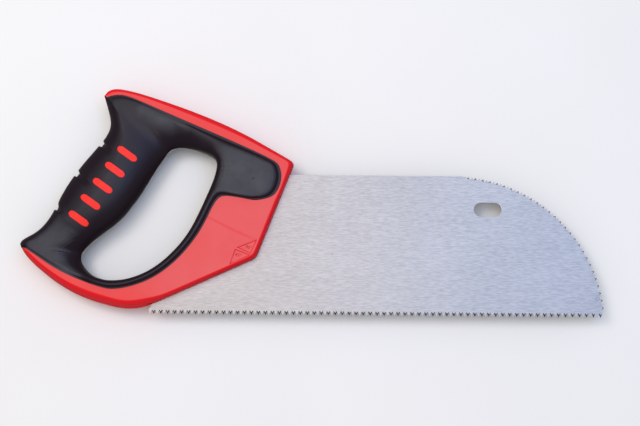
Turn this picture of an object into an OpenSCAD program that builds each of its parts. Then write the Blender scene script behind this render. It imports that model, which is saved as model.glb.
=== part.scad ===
// Floorboard saw: a toothed steel blade with a round nose, a hard moulded
// handle core around its tang, and a soft grip moulded over the core.
// All sizes are in millimetres. The saw lies on its side, X runs from the
// handle to the toe, Y from the teeth to the back of the blade, Z is up.

/* [Blade] */
// Length of the straight toothed edge from heel to toe
tooth_line_length = 325.5; // [280:0.5:360]
// Depth of the plate from the tooth roots to the back
plate_depth = 99; // [96:1:104]
// Thickness of the steel plate
plate_thickness = 0.9; // [0.7:0.1:1.2]
// Radius of the round nose at the tooth tips
nose_radius = 106.5; // [105:0.5:130]

/* [Teeth] */
// Spacing of the teeth on the straight edge
tooth_pitch = 2.5; // [2:0.1:4]
// Height of the teeth on the straight edge
tooth_depth = 3; // [2:0.1:4]
// Sideways set of each tooth tip
tooth_set = 0.2; // [0.1:0.05:0.3]
// Share of the pitch that each bevel takes at the root of a tooth's inner side
bevel_share = 0.2; // [0.1:0.05:0.3]
// Share of the tooth's height that its flat inner side keeps above the bevels
flat_share = 0.4; // [0.3:0.05:0.7]
// Spacing of the teeth round the nose
nose_tooth_pitch = 2.7; // [2:0.1:4]
// Height of the teeth round the nose
nose_tooth_depth = 1.8; // [1.2:0.1:2.6]
// Plain run at the start of the nose before its first tooth
nose_plain_run = 8; // [6:1:20]

/* [Hang slot] */
// Length of the slot over its round ends
slot_length = 20; // [16:0.5:26]
// Width of the slot
slot_width = 10.5; // [8:0.5:12]
// Distance of the slot's middle from the toe
slot_from_toe = 81.5; // [75:0.5:95]
// Distance of the slot's middle below the back
slot_below_back = 24.5; // [20:0.5:32]

/* [Tang] */
// Length of the blade's back that is buried in the handle
tang_run = 30; // [20:1:36]
// Diameter of the holes that lock the tang in the core
lock_diameter = 8; // [6:0.5:9]
// Number of lock holes
lock_count = 3; // [2:1:4]

/* [Handle core] */
// Thickness over the flat cheeks
cheek_thickness = 19; // [16:0.5:22]
// Rounding along the core's top and bottom edges
cheek_edge = 4; // [2.5:0.5:5]
// Lean of the bottom edge from the cheeks out to the seam at mid thickness
edge_lean = 2; // [1:0.1:2.5]
// Rounding along the front edges, where the blade leaves the core
front_edge = 2.4; // [1.5:0.1:3]
// Lean of the top and front edges
front_lean = 0.4; // [0.2:0.1:0.8]
// Rise of the handle's top corner above the back of the blade
top_rise = 8.5; // [5:0.5:12]

/* [Soft grip] */
// Thickness over the middle of the grip
grip_thickness = 29; // [26:0.5:33]
// Depth of the soft layer over the core's sides
soft_depth = 4; // [3:0.5:5]
// Depth of the soft layer on the inside of the hand opening
soft_skin = 2.5; // [2:0.5:3]
// Rise of the pad and the lip above the cheeks
pad_rise = 2.5; // [1.5:0.1:3]
// Width of the rounded border of the pad and the lip
pad_edge = 6; // [4:0.5:7]
// Rise of the soft grip above the cheeks where the pad has run out into the grip
flush_rise = 0.8; // [0.7:0.1:1.5]
// Width of the low ledge at the foot of the border
pad_ledge = 2; // [1:0.1:2.4]
// Edge rounding at the front of the hand opening
lip_edge = 5; // [3:0.5:6]
// Depth of the rounding of the grip itself
grip_edge = 12; // [9:0.5:12.5]
// Step from the cheeks up to the border of the soft grip
soft_step = 0.4; // [0.2:0.1:0.6]
// Lean of the grip above the tooth line
grip_lean = 55; // [50:1:60]
// Length of the thickened part of the grip
swell_length = 150; // [130:1:170]

/* [Palm grooves] */
// Width of each groove across the back of the grip
groove_width = 5; // [4:0.5:8]
// Depth of each groove
groove_depth = 2; // [1:0.1:2.4]
// Spacing of the three grooves along the grip
groove_spacing = 28; // [22:1:30]
// Place of the middle groove along the grip
groove_middle = 2; // [-4:1:6]

/* [Hidden] */

half_plate = plate_thickness / 2;
half_cheek = cheek_thickness / 2;
half_grip = grip_thickness / 2;

// Outer outline of the handle, clockwise: across, up, length of the corner's curve
upper_horn_rear = [-37.9, 158.9, 9];
upper_horn_top = [-24, 163, 30];
top_bow = [51.5, 137.7, 80];
front_top = [103.7, plate_depth + top_rise, 3];
front_low = [76.6, 37.5, 3.5];
heel_corner = [-9.5, -1.6, 14];
bottom_bow = [-53.3, 8.8, 60];
bottom_rear = [-88.3, 35, 30];
lower_horn = [-95, 47.9, 5];
palm_low = [-74.8, 58.5, 30];
palm_swell = [-61, 91.8, 40];
neck_low = [-30.6, 129, 14];
neck_high = [-31.5, 140.8, 14];
outer_corners = [
    upper_horn_rear, upper_horn_top, top_bow, front_top, front_low, heel_corner, bottom_bow,
    bottom_rear, lower_horn, palm_low, palm_swell, neck_low, neck_high
];

// Hand opening, clockwise from its upper rear corner
opening_corners = [
    [6.4, 107.9, 14],
    [15.6, 120.6, 18],
    [46, 113, 20],
    [48.2, 102, 20],
    [39.4, 78.7, 40],
    [25.2, 48.1, 40],
    [-3.3, 22.9, 40],
    [-36.7, 18.9, 24],
    [-52.9, 35.5, 22],
    [-42, 49.5, 16],
    [-18, 66.5, 30]
];

// Border between the soft grip and the bare core, clockwise from the upper horn.
// The last two corners lie behind the handle, where the soft grip wraps right round.
soft_corners = [
    [-43, 149, 6],
    [-24.6, 157.8, 12],
    [4, 145.3, 20],
    [front_top.x - 25.4, front_top.y + 5.9, 30],
    [front_top.x - 6.3, front_top.y - 4.3, 16],
    [89.5, 76.4, 16],
    [63.1, 80.4, 20],
    [49.3, 84.2, 14],
    [34.9, 50.5, 40],
    [7.8, 22.5, 40],
    [-22.3, 12.7, 40],
    [-38.2, 16.5, 24],
    [-63.4, 26.2, 30],
    [-88.9, 43.8, 10],
    [-127, 60, 10],
    [-79, 152, 10]
];

// Core line of the hand opening, which the sections of the handle look out from
opening_low = [-29, 37.5];
opening_high = [26.5, 98];
// Middle of the grip
grip_middle = [-35, 82];
// Tang corner next to the hand opening
tang_corner = [45, 71.5];
// Where the tang's cavity ends, well in front of the handle
cavity_end = front_top.x + 40;
// First and last hole that lock the tang
lock_first = [34, 30];
lock_last = [84, 88];
// Spacing of the handle's sections along its outer outline
section_spacing = 7.5;
// Narrowest bare band that the core keeps at the horns
band_least = 2.5;
// Narrowest soft band that the lip keeps at the front of the hand opening
lip_least = 5.5;

// Curves
function unit(v) = v / norm(v);
function flat(v) = [v.x, v.y];
function placed(p, height) = [p.x, p.y, height];
function cross_flat(a, b) = a.x * b.y - a.y * b.x;
function mix(a, b, share) = a + (b - a) * share;
function clamped(value) = min(1, max(0, value));
function bend(a, b, c, t) = (1 - t) * (1 - t) * a + 2 * t * (1 - t) * b + t * t * c;

// Points along one corner and along the straight run after it
function corner_run(before, here, after, next_reach, spacing) =
    let(
        q = flat(here),
        back = flat(before) - q,
        ahead = flat(after) - q,
        start = q + unit(back) * min(here.z, norm(back) / 2),
        finish = q + unit(ahead) * min(here.z, norm(ahead) / 2),
        next_start = flat(after) - unit(ahead) * min(next_reach, norm(ahead) / 2),
        curve_steps = max(3, round((norm(q - start) + norm(finish - q)) / spacing)),
        run = norm(next_start - finish),
        run_steps = run < 0.01 ? 0 : ceil(run / spacing)
    )
    concat(
        [for (k = [0 : curve_steps - 1]) bend(start, q, finish, k / curve_steps)],
        [for (k = [0 : 1 : run_steps - 1]) mix(finish, next_start, k / run_steps)]
    );

function outline(corners, spacing) =
    let(count = len(corners))
    [
        for (i = [0 : count - 1])
            each corner_run(
                corners[(i + count - 1) % count], corners[i], corners[(i + 1) % count],
                corners[(i + 1) % count].z, spacing
            )
    ];

// Distance from a point along a direction to the first crossing of a closed outline
function reach(from, along, loop) =
    min([
        for (i = [0 : len(loop) - 1])
            let(
                p = loop[i],
                side = loop[(i + 1) % len(loop)] - p,
                slant = cross_flat(along, side),
                t = slant == 0 ? -1 : cross_flat(p - from, side) / slant,
                m = slant == 0 ? -1 : cross_flat(p - from, along) / slant
            )
            if (m >= 0 && m < 1 && t > 0) t
    ]);

// Closest point on the core line of the opening
function core_point(p) =
    let(run = opening_high - opening_low)
    opening_low + run * clamped((p - opening_low) * run / (run * run));

grip_along = [cos(grip_lean), sin(grip_lean)];
grip_ahead = [sin(grip_lean), -cos(grip_lean)];

function along_grip(p) = (p - grip_middle) * grip_along;
function behind_grip(p) = (p - grip_middle) * grip_ahead < 0;

// Places of the palm grooves along the grip, and of the sections that form their walls
groove_places = [for (k = [-1 : 1]) groove_middle + k * groove_spacing];
groove_marks = [for (place = groove_places, share = [-0.5, -0.3, 0.3, 0.5]) place + share * groove_width];

function groove_share(p) =
    let(gap = min([for (place = groove_places) abs(along_grip(p) - place)]) / groove_width)
    behind_grip(p) ? clamped((0.5 - gap) / 0.2) : 0;
function clear_of_grooves(p) =
    !behind_grip(p) || min([for (place = groove_places) abs(along_grip(p) - place)]) > groove_width / 2 + 1;

// Outer outline with its own points at the walls of the palm grooves
smooth_points = [for (p = outline(outer_corners, section_spacing)) if (clear_of_grooves(p)) p];
outer_points = [
    for (i = [0 : len(smooth_points) - 1])
        let(
            p = smooth_points[i],
            q = smooth_points[(i + 1) % len(smooth_points)],
            first = along_grip(p),
            second = along_grip(q),
            marks = behind_grip(p) && behind_grip(q) ? groove_marks : [],
            shares = [for (m = marks) if (m > first && m < second) (m - first) / (second - first)]
        )
        each concat([p], [for (share = shares) mix(p, q, share)])
];
opening_points = outline(opening_corners, 3);
soft_points = outline(soft_corners, 3);
count = len(outer_points);

// Share of the grip's extra thickness at a point
function swell(p) = pow(cos(min(90, abs(along_grip(p)) * 180 / swell_length)), 2);

// One section runs from the hand opening out to a point of the outer outline
function section(p) =
    let(
        from = core_point(p),
        along = unit(p - from),
        near = reach(from, along, opening_points),
        width = norm(p - from) - near,
        soft = reach(from, along, soft_points) - near,
        rear = (1 - along * grip_ahead) / 2,
        lift = swell(from + along * (near + width / 2)) * clamped((rear - 0.5) / 0.4),
        dip = groove_depth * groove_share(p),
        wraps = width - soft < band_least
    )
    [from + along * near, along, width, max(soft, lip_least), rear, lift, dip, wraps];
sections = [for (p = outer_points) section(p)];

function start_of(s) = s[0];
function along_of(s) = s[1];
function width_of(s) = s[2];
function soft_of(s) = s[3];
function rear_of(s) = s[4];
function lift_of(s) = s[5];
function dip_of(s) = s[6];
function wraps(s) = s[7];
function wraps_at(i) = wraps(sections[(i + count) % count]);

function bare_of(s) = width_of(s) - soft_of(s);

// Share of the front edges and of the bottom edge at a section
function edge_spot(s) = start_of(s) + along_of(s) * width_of(s);
function front_share(s) = clamped(edge_spot(s).x / 12) * clamped((front_top.y + 2 - edge_spot(s).y) / 8);
function bottom_share(s) = (1 - front_share(s)) * clamped((70 - edge_spot(s).y) / 20);

// Lean and rounding of the core's outer edge, smaller where the bare band is narrow
function lean_of(s) = min(mix(front_lean, edge_lean, bottom_share(s)), 0.5 * bare_of(s));
function bare_edge(s) =
    min(mix(cheek_edge, front_edge, front_share(s)), 0.6 * (bare_of(s) - lean_of(s)));

// Share of the grip's gentle shape at a section: 0 at the pad and the lip, 1 behind the opening
function gentle_of(s) = clamped((rear_of(s) - 0.6) / 0.3);

// Height of the soft grip at a section, depth of its roundings and how far each one reaches
function high_of(s) =
    mix(half_cheek + mix(pad_rise, flush_rise, gentle_of(s)), half_grip, lift_of(s));
function round_depth(s) = min(mix(lip_edge, grip_edge, gentle_of(s)), high_of(s) - 0.5);
function inner_reach(s) =
    wraps(s)
        ? width_of(s) * mix(mix(0.45, 0.75, gentle_of(s)), 0.5, lift_of(s)) - 0.25
        : mix(min(lip_edge, 0.45 * soft_of(s)), 0.75 * soft_of(s), gentle_of(s));
function outer_reach(s) = width_of(s) * mix(0.2, 0.5, lift_of(s)) - 0.25;

// Rounded end of a section: its place across, height, reach and depth, angles from upright
function turned_out(across, high, reach, depth, angles, dip) = [
    for (a = angles)
        let(cut = dip * clamped((a - 25) / 30))
        [across - reach + (reach - cut) * sin(a), high - depth + (depth - cut) * cos(a)]
];
function turned_in(across, high, reach, depth) = [
    for (a = [90 : -30 : 0]) [across + reach - reach * sin(a), high - depth + depth * cos(a)]
];

// Half section of the soft grip's surface: distance from the opening, height
function soft_half(s) =
    let(
        width = width_of(s) + soft_step,
        soft = soft_of(s),
        dip = dip_of(s),
        high = high_of(s),
        depth = round_depth(s),
        border = min(pad_edge, 0.4 * soft, 0.95 * (soft - inner_reach(s))),
        ledge = min(pad_ledge, 0.4 * border),
        rim = half_cheek + soft_step,
        edge = bare_edge(s)
    )
    concat(
        [[0, 0]],
        turned_in(0, high, inner_reach(s), depth),
        wraps(s)
            ? concat(
                turned_out(width, high, outer_reach(s), depth, [0, 22.5, 45, 60, 75, 90], dip),
                [[width - dip, (high - depth) / 2], [width - dip, 0]]
            )
            : concat(
                [
                    [soft - border, high],
                    [soft - border + (border - ledge) * sin(45), rim + (high - rim) * cos(45)],
                    [soft - ledge, rim],
                    [soft, rim]
                ],
                turned_out(width - lean_of(s), rim, edge, edge, [0, 45, 90], 0),
                [[width, 0]]
            )
    );

// Half section of the core: under the soft grip, then bare outside its border
function core_half(s) =
    let(
        width = width_of(s),
        soft = soft_of(s),
        high = high_of(s) - soft_depth,
        depth = min(round_depth(s), high - 0.5),
        far = width - soft_depth,
        slimmer = (far - soft_skin) / width,
        inner = wraps(s) ? inner_reach(s) * slimmer : min(inner_reach(s), soft - soft_skin - 1),
        outer = outer_reach(s) * slimmer,
        lead = soft_skin + inner,
        edge = bare_edge(s)
    )
    concat(
        [[soft_skin, 0]],
        turned_in(soft_skin, high, inner, depth),
        wraps(s)
            ? concat(
                [[mix(lead, far - outer, 0.5), high]],
                turned_out(far, high, outer, depth, [0, 30, 60, 90], 0),
                [for (share = [2, 1, 0]) [far, (high - depth) * share / 3]]
            )
            : concat(
                [for (share = [1, 2, 3]) [mix(lead, soft, share / 3), high]],
                [[soft, half_cheek]],
                turned_out(width - lean_of(s), half_cheek, edge, edge, [0, 45, 90], 0),
                [[width, 0]]
            )
    );

// Full ring of a half section, mirrored about the middle plane
function ring(s, half) =
    let(last = len(half) - 1)
    concat(
        [for (k = [0 : last]) placed(start_of(s) + along_of(s) * half[k].x, half[k].y)],
        [for (k = [last - 1 : -1 : 1]) placed(start_of(s) + along_of(s) * half[k].x, -half[k].y)]
    );

soft_grid = [for (s = sections) each ring(s, soft_half(s))];
core_grid = [for (s = sections) each ring(s, core_half(s))];
ring_count = len(core_grid) / count;
// The ring's points between these two lie on the bare side of the border
border_first = 8;
border_last = ring_count - border_first;

function at(i, j) = ((i + count) % count) * ring_count + j % ring_count;
function bare_side(j) = j >= border_first && j < border_last;
function covered(i, j) = !bare_side(j) || wraps_at(i) || wraps_at(i + 1);
function two(a, b, c, d) = [[a, b, c], [a, c, d]];

core_faces = [
    for (i = [0 : count - 1], j = [0 : ring_count - 1])
        each two(at(i, j), at(i + 1, j), at(i + 1, j + 1), at(i, j + 1))
];

lower = count * ring_count;
soft_faces = concat(
    [
        for (i = [0 : count - 1], j = [0 : ring_count - 1])
            if (covered(i, j)) each two(at(i, j), at(i + 1, j), at(i + 1, j + 1), at(i, j + 1))
    ],
    [
        for (i = [0 : count - 1], j = [0 : ring_count - 1])
            if (covered(i, j))
                each two(
                    lower + at(i, j + 1), lower + at(i + 1, j + 1),
                    lower + at(i + 1, j), lower + at(i, j)
                )
    ],
    [
        for (i = [0 : count - 1])
            if (!covered(i, border_first))
                each concat(
                    two(
                        at(i, border_first), at(i + 1, border_first),
                        lower + at(i + 1, border_first), lower + at(i, border_first)
                    ),
                    two(
                        lower + at(i, border_last), lower + at(i + 1, border_last),
                        at(i + 1, border_last), at(i, border_last)
                    )
                )
    ],
    [
        for (i = [0 : count - 1], j = [border_first : border_last - 1])
            if (covered(i, j) && !covered(i - 1, j))
                each two(at(i, j), at(i, j + 1), lower + at(i, j + 1), lower + at(i, j))
    ],
    [
        for (i = [0 : count - 1], j = [border_first : border_last - 1])
            if (!covered(i, j) && covered(i - 1, j))
                each two(lower + at(i, j), lower + at(i, j + 1), at(i, j + 1), at(i, j))
    ]
);

// Teeth
root_radius = nose_radius - nose_tooth_depth;
nose_up = plate_depth - nose_radius;
nose_across = tooth_line_length - sqrt(root_radius * root_radius - nose_up * nose_up);
nose_middle = [nose_across, nose_up];
toe_angle = asin(-nose_up / root_radius);
nose_start = 90 - asin(nose_plain_run / nose_radius);
tooth_count = round(tooth_line_length / tooth_pitch);
nose_count = round((nose_start - toe_angle) * PI / 180 * nose_radius / nose_tooth_pitch);
tang_top = [front_top.x - tang_run, plate_depth];

function nose_point(radius, angle) = nose_middle + radius * [cos(angle), sin(angle)];
function nose_angle(k) = toe_angle + (nose_start - toe_angle) * k / nose_count;

// Each tooth: first root, second root, tip, side that it is set towards
straight_teeth = [
    for (k = [0 : tooth_count - 1])
        let(step = tooth_line_length / tooth_count)
        [[k * step, 0], [(k + 1) * step, 0], [(k + 0.5) * step, -tooth_depth], k % 2 == 0 ? 1 : -1]
];
nose_teeth = [
    for (k = [0 : nose_count - 1])
        [
            nose_point(root_radius, nose_angle(k)), nose_point(root_radius, nose_angle(k + 1)),
            nose_point(nose_radius, nose_angle(k + 0.5)), (tooth_count + k) % 2 == 0 ? 1 : -1
        ]
];
teeth = concat(straight_teeth, nose_teeth);

// Plate outline without its teeth: tang, then the roots, then the plain start of the nose
plain_nose = [for (k = [0 : 4]) nose_point(nose_radius, mix(nose_start, 90, k / 4))];
plate_lead = [tang_top, tang_corner];
plate_tail = concat([nose_teeth[nose_count - 1][1]], plain_nose);

// Points of one tooth: roots on the set side, roots and bevel roots on the other side, tips
function tooth_points(t) =
    let(
        high = t[3] * half_plate,
        first = mix(t[0], t[1], bevel_share),
        second = mix(t[1], t[0], bevel_share),
        short_tip = mix((t[0] + t[1]) / 2, t[2], flat_share)
    )
    [
        placed(t[0], high), placed(t[2], high + t[3] * tooth_set), placed(t[0], -high),
        placed(first, -high), placed(second, -high), placed(short_tip, -high)
    ];

plate_points = concat(
    [for (t = teeth) each tooth_points(t)],
    [for (p = concat(plate_lead, plate_tail)) placed(p, half_plate)],
    [for (p = concat(plate_lead, plate_tail)) placed(p, -half_plate)]
);
teeth_total = len(teeth);
edge_first = teeth_total * 6;
edge_total = len(plate_lead) + len(plate_tail);
lead_total = len(plate_lead);

// Index of a root on the upper or the lower face, and of the plain edge's points
function plain_index(k, up) = edge_first + k + (up ? 0 : edge_total);
function root_index(k, up) =
    k == teeth_total ? plain_index(lead_total, up) : k * 6 + ((teeth[k][3] > 0) == up ? 0 : 2);
function face_loop(up) = concat(
    [for (k = [0 : lead_total - 1]) plain_index(k, up)],
    [
        for (k = [0 : teeth_total - 1])
            each (teeth[k][3] > 0) == up
                ? [root_index(k, up)]
                : [root_index(k, up), k * 6 + 3, k * 6 + 4]
    ],
    [for (k = [lead_total : edge_total - 1]) plain_index(k, up)]
);
function fan(loop) = [for (k = [1 : len(loop) - 2]) [loop[0], loop[k], loop[k + 1]]];
function turned(faces) = [for (f = faces) [f[2], f[1], f[0]]];

// Faces of one tooth that is set upwards
function tooth_faces(k) =
    let(
        up = teeth[k][3] > 0,
        base = k * 6,
        next_set = root_index(k + 1, up),
        next_other = root_index(k + 1, !up)
    )
    [
        [base, base + 1, next_set],
        [base + 3, base + 4, base + 5],
        [base, base + 3, base + 5],
        [base, base + 5, base + 1],
        [base + 1, base + 5, next_set],
        [base + 5, base + 4, next_set],
        [base, base + 2, base + 3],
        [next_set, base + 4, next_other]
    ];

upper_loop = face_loop(true);
lower_loop = face_loop(false);
function plain_edge(up) = concat(
    [for (k = [lead_total : edge_total - 1]) plain_index(k, up)],
    [for (k = [0 : lead_total - 1]) plain_index(k, up)],
    [root_index(0, up)]
);
plain_upper = plain_edge(true);
plain_lower = plain_edge(false);
plate_faces = concat(
    turned(fan(upper_loop)),
    fan(lower_loop),
    [
        for (k = [0 : teeth_total - 1])
            each teeth[k][3] > 0 ? turned(tooth_faces(k)) : tooth_faces(k)
    ],
    [
        for (k = [0 : len(plain_upper) - 2])
            each two(plain_upper[k], plain_upper[k + 1], plain_lower[k + 1], plain_lower[k])
    ]
);

// Shift from the heel to the middle of the saw's box, with Z = 0 on its lowest point
function far_end(s) = start_of(s) + along_of(s) * (width_of(s) + (wraps(s) ? soft_step : 0));
box_left = min([for (s = sections) far_end(s).x]);
box_right = max([for (t = teeth) t[2].x]);
box_top = max([for (p = outer_points) p.y]);
middle_shift = [-(box_left + box_right) / 2, -(box_top - tooth_depth) / 2, half_grip];

module lock_pins(height) {
    for (k = [0 : lock_count - 1]) {
        spot = mix(lock_first, lock_last, k / (lock_count - 1));
        translate([spot.x, spot.y, -height / 2])
            cylinder(d = lock_diameter, h = height, $fn = 32);
    }
}

module slot_cut() {
    run = (slot_length - slot_width) / 2;
    translate([tooth_line_length - slot_from_toe, plate_depth - slot_below_back, -plate_thickness]) {
        for (side = [-1, 1])
            translate([side * run, 0, 0])
                cylinder(d = slot_width, h = 2 * plate_thickness, $fn = 48);
        translate([-run, -slot_width / 2, 0])
            cube([2 * run, slot_width, 2 * plate_thickness]);
    }
}

module blade() {
    color("Silver")
        translate(middle_shift)
            difference() {
                polyhedron(plate_points, plate_faces, convexity = 10);
                slot_cut();
                lock_pins(2 * plate_thickness);
            }
}

module tang_cavity() {
    difference() {
        translate([0, 0, -half_plate])
            linear_extrude(plate_thickness)
                polygon([tang_top, tang_corner, [0, 0], [cavity_end, 0], [cavity_end, plate_depth]]);
        lock_pins(2 * plate_thickness);
    }
}

module handle_core() {
    color("Crimson")
        translate(middle_shift)
            difference() {
                polyhedron(core_grid, core_faces, convexity = 10);
                tang_cavity();
            }
}

module soft_grip() {
    color("DimGray")
        translate(middle_shift)
            polyhedron(concat(soft_grid, core_grid), soft_faces, convexity = 10);
}

blade();
handle_core();
soft_grip();
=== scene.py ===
"""Looks of a floorboard saw: a brushed steel blade in a red handle with a black soft grip."""

import logging
import math
from dataclasses import dataclass, field
from enum import Enum
from typing import Callable

import bmesh
import bpy
from mathutils import Matrix, Vector
from mathutils.bvhtree import BVHTree


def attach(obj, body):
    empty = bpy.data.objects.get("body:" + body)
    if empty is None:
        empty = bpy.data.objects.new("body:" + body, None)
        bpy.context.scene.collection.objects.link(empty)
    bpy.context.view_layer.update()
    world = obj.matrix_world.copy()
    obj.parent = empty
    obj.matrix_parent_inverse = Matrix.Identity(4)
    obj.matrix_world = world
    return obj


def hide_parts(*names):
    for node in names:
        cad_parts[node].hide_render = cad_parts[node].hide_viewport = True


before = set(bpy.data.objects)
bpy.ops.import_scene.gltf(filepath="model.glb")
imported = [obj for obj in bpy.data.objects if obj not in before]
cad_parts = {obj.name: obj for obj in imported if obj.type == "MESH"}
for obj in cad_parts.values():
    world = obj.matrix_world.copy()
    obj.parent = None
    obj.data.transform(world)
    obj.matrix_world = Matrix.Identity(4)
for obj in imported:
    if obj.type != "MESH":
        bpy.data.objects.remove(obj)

LOG = logging.getLogger("floorboard_saw")
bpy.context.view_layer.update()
MM = 0.001
HEEL = (-116.655, -79.154, 14.5)  # the blade's heel on its middle plane, in mm
MIDDLE = HEEL[2] * MM
UP = Vector((0, 0, 1))
WELD = 1e-6  # points that lie closer than this, in metres, become one
CUT_SLACK = 1e-7  # points this close to a cutting plane, in metres, lie on it
PAIR_FOLD = 40.0  # two triangles that fold more than this, in degrees, stay apart
PAIR_SHAPE = 60.0  # and so do two that make a face with corners this far from square
SHADE_FOLD = 38.0  # folds above this, in degrees, are shaded as edges
PLANE_SLACK = 0.02  # points this close to the middle plane, in mm, lie on it
FOLD = 0.15  # a fold in radians that counts as one

Colour = tuple[float, float, float]
Place = tuple[float, float, float]
Spot = tuple[float, float]  # mm along the tooth line and up the blade, from the heel
Span = tuple[float, float]
Socket = bpy.types.NodeSocket
Value = Socket | float
Tint = Socket | Colour
Input = Socket | float | tuple[float, ...] | Vector


def from_heel(spot: Spot, height: float = 0.0) -> Vector:
    """Places a point that is measured from the blade's heel.

    Args:
        spot: distance along the tooth line and distance up the blade, in mm.
        height: distance from the blade's middle plane, in mm.

    Returns:
        The place in metres in the part's own frame.
    """
    return Vector((spot[0] + HEEL[0], spot[1] + HEEL[1], height + HEEL[2])) * MM


def flat_distance(place: Vector, spot: Spot) -> float:
    """Gives the distance in mm from a place to a spot, seen along Z."""
    return (place.xy - from_heel(spot).xy).length / MM


def held(value: float) -> float:
    """Holds a value between 0 and 1."""
    return min(1.0, max(0.0, value))


class Side(Enum):
    """The two faces of the saw, by the way they point along Z."""

    NEAR = 1
    FAR = -1


class Slot(Enum):
    """The record's material slots of the pieces that are made here."""

    PLASTIC = "red_plastic"
    RUBBER = "black_rubber"


@dataclass(frozen=True)
class Noise:
    """A pattern of blots.

    Attributes:
        size: blot size in mm along X, Y and Z.
        detail: octaves of finer blots.
        turn: turn of the pattern about Z in degrees.
        rough: strength of the finer blots.
    """

    size: tuple[float, float, float]
    detail: float = 2.0
    turn: float = 0.0
    rough: float = 0.5


@dataclass(frozen=True)
class Blemish:
    """A small mark on the saw's sides.

    Attributes:
        spot: its middle.
        width: distance in mm over which it fades out.
        share: its strength.
        radius: radius in mm of a ring, or 0 for a dot.
    """

    spot: Spot
    width: float
    share: float
    radius: float = 0.0


@dataclass(frozen=True)
class SheenPatch:
    """A patch of painted sheen on the rubber.

    Attributes:
        spot: its middle.
        reach: how far it goes, in mm.
        leans: leans in degrees between which it fades out.
        share: its strength.
        least: height in mm from the middle plane below which there is none.
    """

    spot: Spot
    reach: float
    leans: Span
    share: float = 1.0
    least: float = 0.0


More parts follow.
